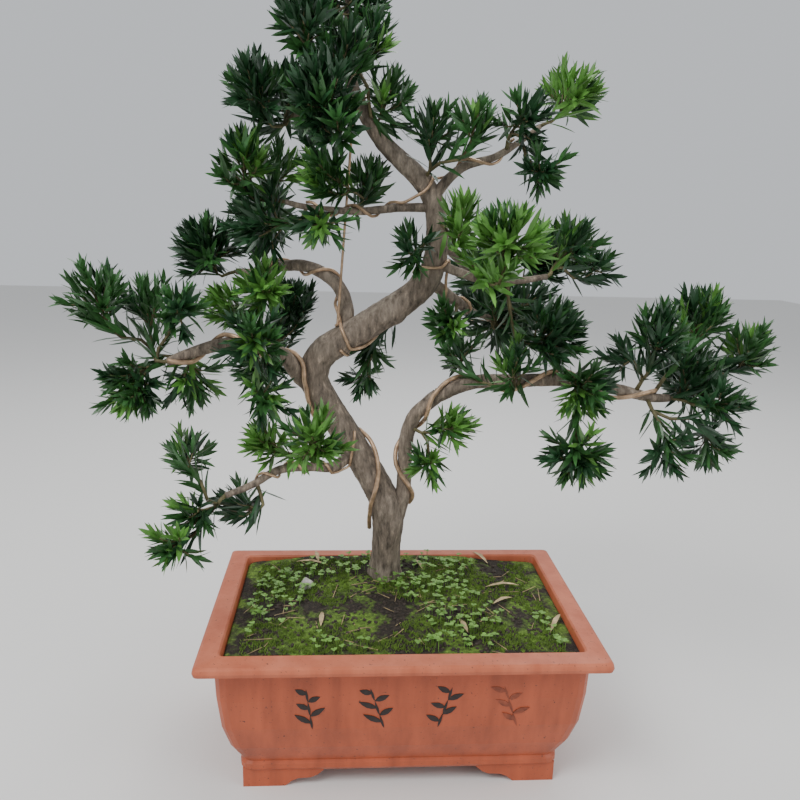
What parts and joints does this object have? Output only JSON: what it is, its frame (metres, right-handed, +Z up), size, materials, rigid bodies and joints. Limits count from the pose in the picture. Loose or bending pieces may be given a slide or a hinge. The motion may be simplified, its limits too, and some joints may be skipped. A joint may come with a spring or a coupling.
{
  "type": "bonsai tree in pot",
  "caption": "Buddhist pine trained as a bonsai with wired boughs and narrow-leaved shoots, in a rectangular clay pot on bracket feet.",
  "frame": {"origin": "bottom centre of the whole plant's box, at the level the feet stand on", "axes": "+X to the right seen from the front, +Y to the back, +Z up"},
  "size_m": [0.8273, 0.4374, 0.9473],
  "materials": {
    "clay": "unglazed fired clay, semi-matte",
    "soil": "moist soil, matte",
    "bark": "fibrous bark, matte",
    "wire": "anodised brown, satin",
    "leaf_dark": "old leaves, glossy",
    "leaf_mid": "leaves, glossy",
    "leaf_young": "young leaves, glossy",
    "leaf_yellow": "turning leaves, satin",
    "twig": "green-brown twigs, matte",
    "moss": "moss and seedlings, matte",
    "straw": "dead leaves and straw, matte",
    "pebble": "small stones, matte",
    "ink": "dark brush paint, matte"
  },
  "bodies": {
    "root": {"pot": "clay", "soil": "soil", "trunk": "bark", "bough_right_rise": "bark", "bough_right_arm": "bark", "bough_left": "bark", "bough_left_low": "bark", "bough_left_upper": "bark", "bough_left_high": "bark", "bough_right_upper": "bark", "bough_right_mid": "bark", "bough_right_inner": "bark", "bough_back_low": "bark", "bough_back_right": "bark", "bough_back_top": "bark", "bough_crown_left": "bark", "wire_left": "wire", "wire_right": "wire", "wire_left_low": "wire", "wire_left_upper": "wire", "wire_high": "wire", "wire_mid": "wire", "tie_wire": "wire", "foliage_pompom": "leaf_dark", "foliage_left_back": "leaf_dark", "foliage_column_foot": "leaf_dark", "foliage_crown_left": "leaf_dark", "foliage_apex": "leaf_dark", "foliage_crown_front": "leaf_dark", "foliage_crown_back": "leaf_dark", "foliage_mid_dark": "leaf_dark", "foliage_mid_right": "leaf_dark", "foliage_far_left": "leaf_dark", "foliage_far_core": "leaf_dark", "foliage_far_drop": "leaf_dark", "foliage_hang_sprig": "leaf_dark", "foliage_lower_left_inner": "leaf_dark", "foliage_right_back": "leaf_dark", "foliage_left_crest": "leaf_mid", "foliage_left_skirt": "leaf_mid", "foliage_left_front": "leaf_mid", "foliage_column_top": "leaf_mid", "foliage_crown_right": "leaf_mid", "foliage_under_crown": "leaf_mid", "foliage_high_droop": "leaf_mid", "foliage_trunk_sprig": "leaf_mid", "foliage_upper_right_inner": "leaf_mid", "foliage_upper_right_mid": "leaf_mid", "foliage_inner_tip": "leaf_mid", "foliage_mid_sprig": "leaf_mid", "foliage_arm_spray": "leaf_mid", "foliage_arm_tuft": "leaf_mid", "foliage_far_top": "leaf_mid", "foliage_lower_left_drop": "leaf_mid", "foliage_upper_left_light": "leaf_young", "foliage_upper_right_tip": "leaf_young", "foliage_trunk_light": "leaf_young", "foliage_fan": "leaf_young", "foliage_rise_sprig": "leaf_young", "foliage_lower_left_light": "leaf_young"}
  },
  "joints": []
}
